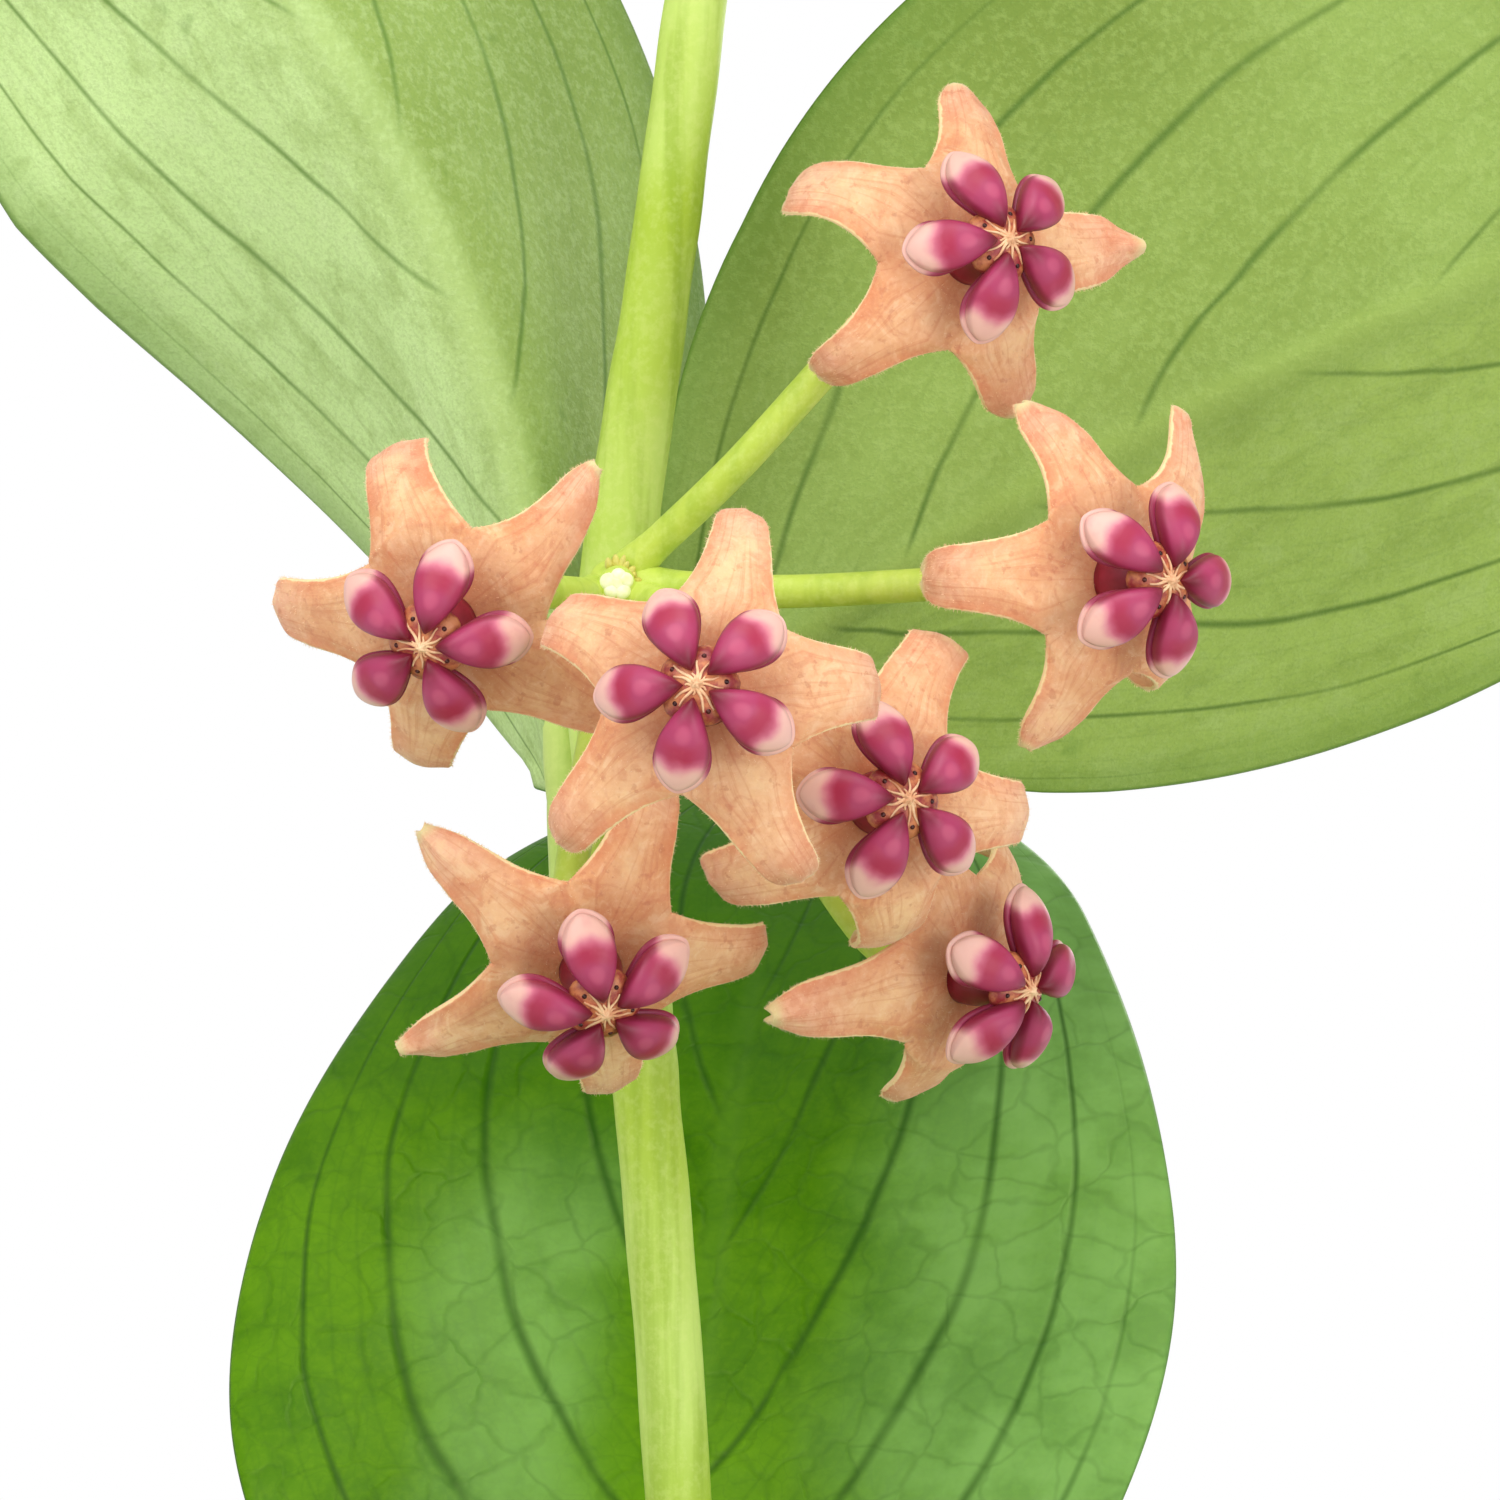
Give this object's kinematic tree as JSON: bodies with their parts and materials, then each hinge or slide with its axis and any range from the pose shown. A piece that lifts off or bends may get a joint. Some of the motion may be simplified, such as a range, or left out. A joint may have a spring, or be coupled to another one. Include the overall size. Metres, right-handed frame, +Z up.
{
  "type": "potted hoya plant",
  "caption": "Potted hoya vine with leathery opposite leaves and a hanging umbel of waxy star flowers, standing in a plain clay pot.",
  "frame": {"origin": "centre of the flat underside of the pot, on the surface it stands on", "axes": "+Z up along the pot's axis; -Y towards the side that the flowers face; +X to the right of a viewer facing the flowers"},
  "size_m": [0.2157, 0.2008, 0.3255],
  "materials": {
    "pot_clay": "matte",
    "potting_mix": "matte",
    "vine_green": "satin",
    "leaf_green": "satin",
    "leaf_young": "satin",
    "stalk_green": "satin",
    "petal_apricot": "matte",
    "corona_crimson": "gloss"
  },
  "bodies": {
    "root": {"pot": "pot_clay", "soil": "potting_mix", "vine_main": "vine_green", "vine_left": "vine_green", "vine_right": "vine_green", "leaf_right_upper": "leaf_green", "leaf_left_upper": "leaf_green", "leaf_back_middle": "leaf_green", "leaf_front_middle": "leaf_green", "leaf_left_lower": "leaf_green", "leaf_right_lower": "leaf_green", "leaf_front_top": "leaf_green", "leaf_back_top": "leaf_green", "leaf_left_young": "leaf_young", "leaf_right_young": "leaf_young", "left_vine_leaf_1": "leaf_green", "left_vine_leaf_2": "leaf_green", "left_vine_leaf_3": "leaf_green", "left_vine_leaf_4": "leaf_green", "left_vine_leaf_5": "leaf_green", "left_vine_leaf_6": "leaf_green", "right_vine_leaf_1": "leaf_green", "right_vine_leaf_2": "leaf_green", "right_vine_leaf_3": "leaf_green", "right_vine_leaf_4": "leaf_green", "right_vine_leaf_5": "leaf_green", "umbel_stalk": "stalk_green", "corolla_1": "petal_apricot", "corona_1": "corona_crimson", "corolla_2": "petal_apricot", "corona_2": "corona_crimson", "corolla_3": "petal_apricot", "corona_3": "corona_crimson", "corolla_4": "petal_apricot", "corona_4": "corona_crimson", "corolla_5": "petal_apricot", "corona_5": "corona_crimson", "corolla_6": "petal_apricot", "corona_6": "corona_crimson", "corolla_7": "petal_apricot", "corona_7": "corona_crimson"}
  },
  "joints": []
}
